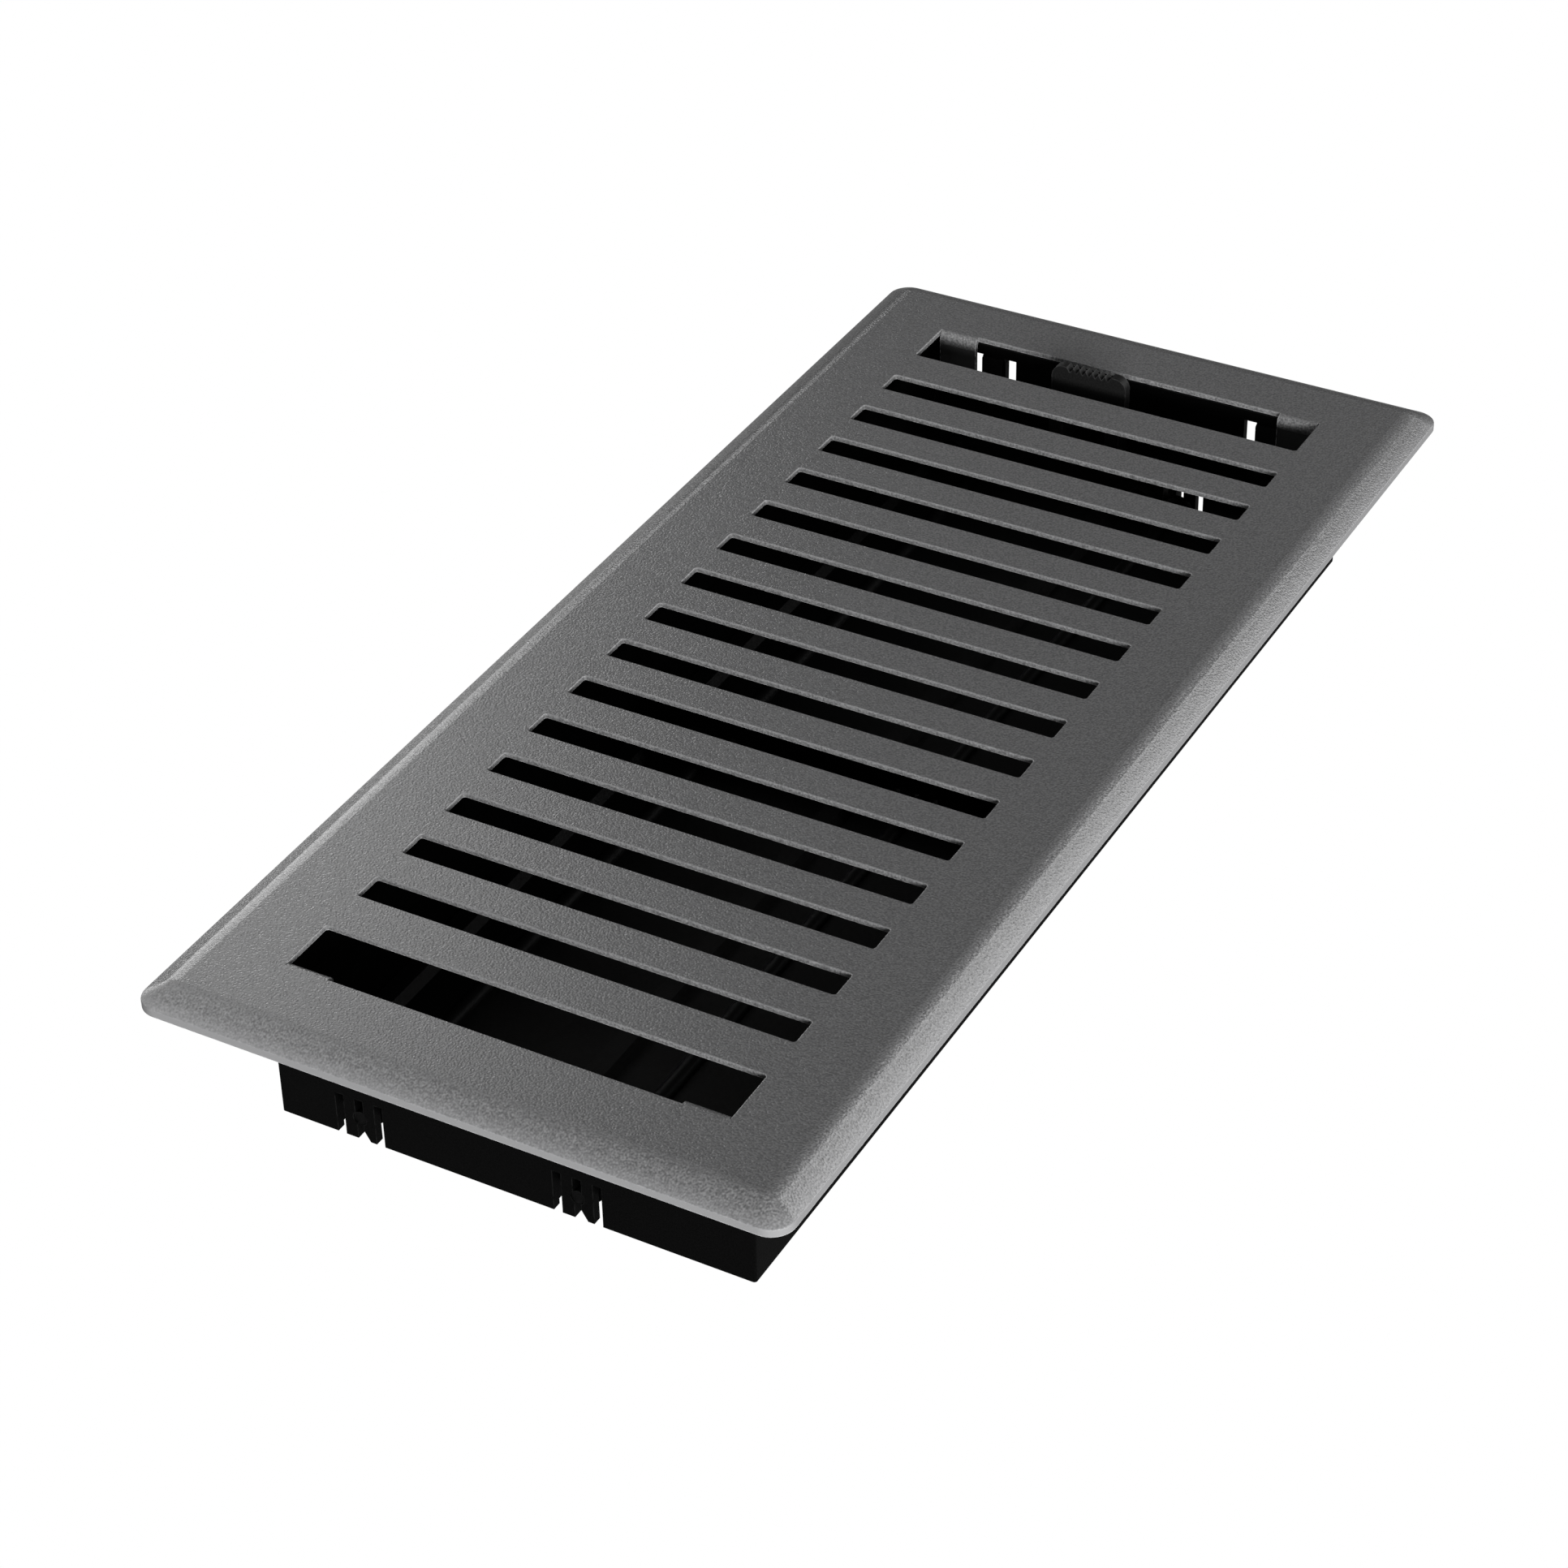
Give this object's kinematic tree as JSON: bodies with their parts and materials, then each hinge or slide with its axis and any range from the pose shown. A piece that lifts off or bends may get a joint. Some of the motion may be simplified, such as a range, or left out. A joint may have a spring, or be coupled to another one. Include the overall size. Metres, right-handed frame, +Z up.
{
  "type": "floor register",
  "caption": "Slotted steel floor register with a sloped rim over a black plastic damper box, with two linked blades worked by a thumb slider.",
  "frame": {"origin": "under the middle of the plate, level with the bottom of the damper box, on which it stands", "axes": "+Y along the register towards the end with the thumb slider, +X across it to the right, +Z up out of the duct"},
  "size_m": [0.1264, 0.2836, 0.0356],
  "materials": {
    "plate_paint": "fine-textured powder coat, mid grey",
    "box_plastic": "black moulded plastic",
    "blade_plastic": "black moulded plastic",
    "lever_plastic": "black moulded plastic"
  },
  "bodies": {
    "housing": {"face_plate": "plate_paint", "damper_box": "box_plastic"},
    "slider": {"slide_lever": "lever_plastic"},
    "left_damper": {"left_blade": "blade_plastic"},
    "right_damper": {"right_blade": "blade_plastic"}
  },
  "joints": [
    {"name": "thumb_slide", "type": "slide", "parent": "housing", "child": "slider", "axis": [1, 0, 0], "range_m": [0, 0.01106]},
    {"name": "left_blade_turn", "type": "hinge", "parent": "housing", "child": "left_damper", "pos_m": [-0.03005, 0, 0.0046], "axis": [0, 1, 0], "range_deg": [0, 85.2]},
    {"name": "right_blade_turn", "type": "hinge", "parent": "housing", "child": "right_damper", "pos_m": [0.01395, 0, 0.0046], "axis": [0, 1, 0], "range_deg": [0, 85.2]}
  ],
  "couplings": [
    {"joint": "left_blade_turn", "follows": "thumb_slide", "rad_per_m": 134.12},
    {"joint": "right_blade_turn", "follows": "thumb_slide", "rad_per_m": 134.12}
  ]
}
